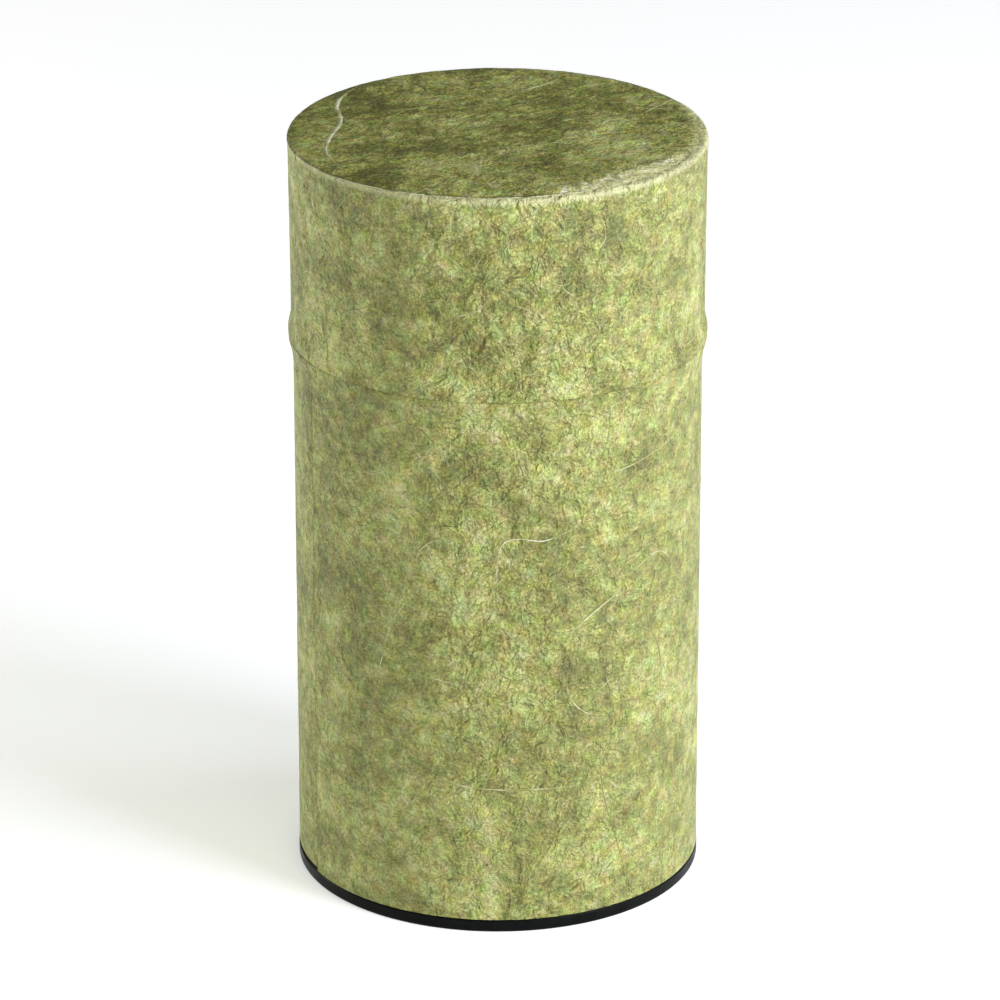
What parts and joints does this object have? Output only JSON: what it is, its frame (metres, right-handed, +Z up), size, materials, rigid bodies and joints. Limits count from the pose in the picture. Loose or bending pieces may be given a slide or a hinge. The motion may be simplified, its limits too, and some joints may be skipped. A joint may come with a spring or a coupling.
{
  "type": "tea caddy",
  "caption": "Round slip-lid tea caddy: a paper-covered tinplate can with a ledge, a press-in inner lid with a knob, and an outer lid that slides over the neck.",
  "frame": {"origin": "centre of the standing ring, on the surface the caddy stands on", "axes": "+Z up along the can's axis, towards the outer lid; +Y towards the back, where the lap of the can's wall is; +X to the right"},
  "size_m": [0.084, 0.084, 0.1562],
  "materials": {
    "green_washi": "matte mottled olive green paper with long fibres",
    "tinplate": "bright rolled tinplate",
    "black_lacquer": "gloss black lacquer",
    "rivet_steel": "satin steel"
  },
  "bodies": {
    "can": {"can_wall": "tinplate", "can_bottom": "black_lacquer", "can_paper": "green_washi"},
    "inner_lid": {"inner_lid_pan": "tinplate", "inner_lid_knob": "tinplate", "knob_rivet": "rivet_steel", "knob_washer": "rivet_steel"},
    "outer_lid": {"lid_shell": "tinplate", "lid_side_paper": "green_washi", "lid_top_paper": "green_washi"}
  },
  "joints": [
    {"name": "inner_lid_lift", "type": "slide", "parent": "can", "child": "inner_lid", "axis": [0, 0, 1], "range_m": [0, 0.04]},
    {"name": "outer_lid_lift", "type": "slide", "parent": "inner_lid", "child": "outer_lid", "axis": [0, 0, 1], "range_m": [0, 0.06]}
  ]
}
